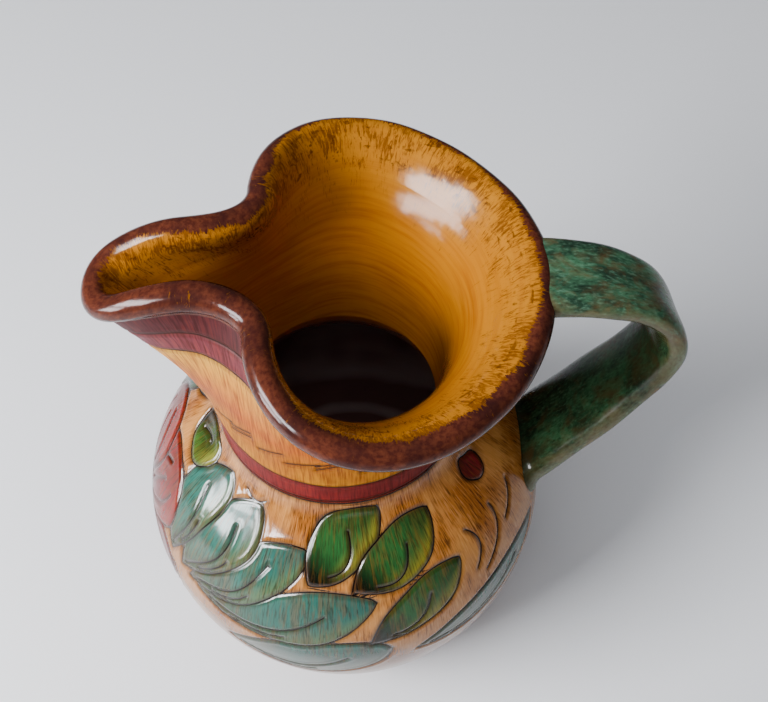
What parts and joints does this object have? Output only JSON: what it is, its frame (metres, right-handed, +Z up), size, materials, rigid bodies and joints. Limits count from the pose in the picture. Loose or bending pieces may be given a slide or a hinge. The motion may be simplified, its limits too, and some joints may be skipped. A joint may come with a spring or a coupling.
{
  "type": "pouring jug",
  "caption": "Round-bellied glazed earthenware pouring jug with a flared mouth pinched into a spout, a rolled lip and a strap handle.",
  "frame": {"origin": "centre of the flat foot, on the surface that the jug stands on", "axes": "+Z up along the jug's axis, +X towards the handle, so the spout points along -X"},
  "size_m": [0.1876, 0.15, 0.2115],
  "materials": {
    "painted_belly_glaze": "glossy clear glaze over brushed tan slip with incised and painted leaves",
    "amber_neck_glaze": "glossy amber glaze with brown brush flecks",
    "brown_lip_glaze": "glossy mottled brown glaze",
    "green_handle_glaze": "glossy mottled green glaze that breaks brown on the edges"
  },
  "bodies": {
    "root": {"belly": "painted_belly_glaze", "neck": "amber_neck_glaze", "lip_roll": "brown_lip_glaze", "handle": "green_handle_glaze"}
  },
  "joints": []
}
